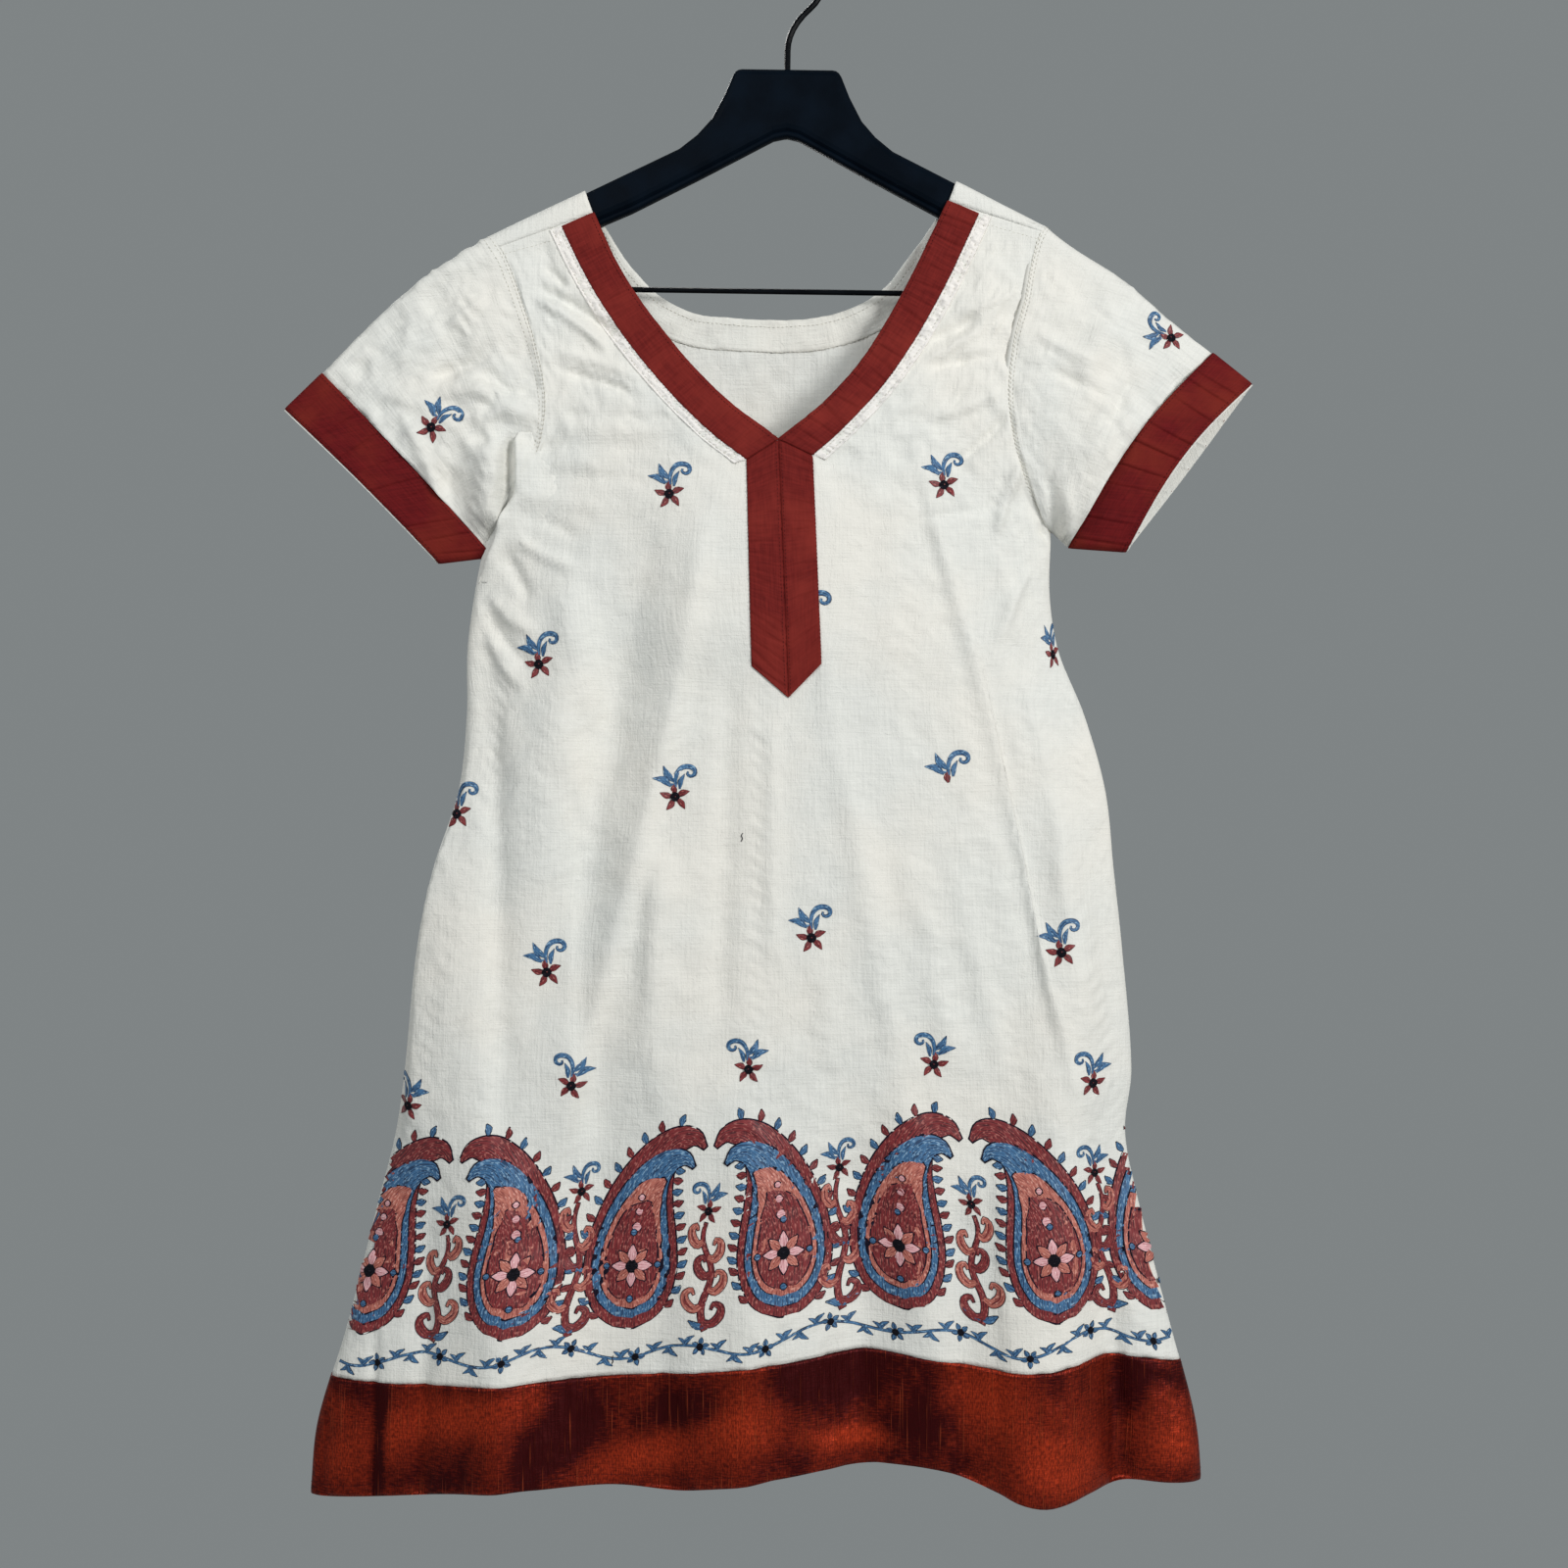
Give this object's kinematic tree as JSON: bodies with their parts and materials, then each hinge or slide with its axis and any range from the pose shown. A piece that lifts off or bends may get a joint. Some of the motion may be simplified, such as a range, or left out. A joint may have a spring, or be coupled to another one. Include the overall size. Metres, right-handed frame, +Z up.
{
  "type": "tunic dress on hanger",
  "caption": "Short-sleeved A-line cotton tunic with banded V neck, placket, cuffs and deep hem band, open at neck, cuffs and hem, on a plain hanger with a bar.",
  "frame": {"origin": "inside top of the hook's bend, where a rail carries the hanger", "axes": "+Z up, front of the garment faces -Y, +X to the viewer's right"},
  "size_m": [0.6903, 0.09, 1.1043],
  "materials": {
    "cream_cotton": "matt slub weave",
    "rust_cotton": "matt plain weave",
    "rust_dupioni": "soft sheen with slubs",
    "black_plastic": "matt black",
    "black_wire": "satin black"
  },
  "bodies": {
    "root": {"front_panel": "cream_cotton", "back_panel": "cream_cotton", "back_neck_facing": "cream_cotton", "sleeve_left": "cream_cotton", "sleeve_right": "cream_cotton", "neck_band_left": "rust_cotton", "neck_band_right": "rust_cotton", "placket_left": "rust_cotton", "placket_right": "rust_cotton", "cuff_band_left": "rust_cotton", "cuff_band_right": "rust_cotton", "hem_band_front": "rust_dupioni", "hem_band_back": "rust_dupioni", "hanger_body": "black_plastic", "hanger_bar": "black_wire", "hanger_hook": "black_wire"}
  },
  "joints": []
}
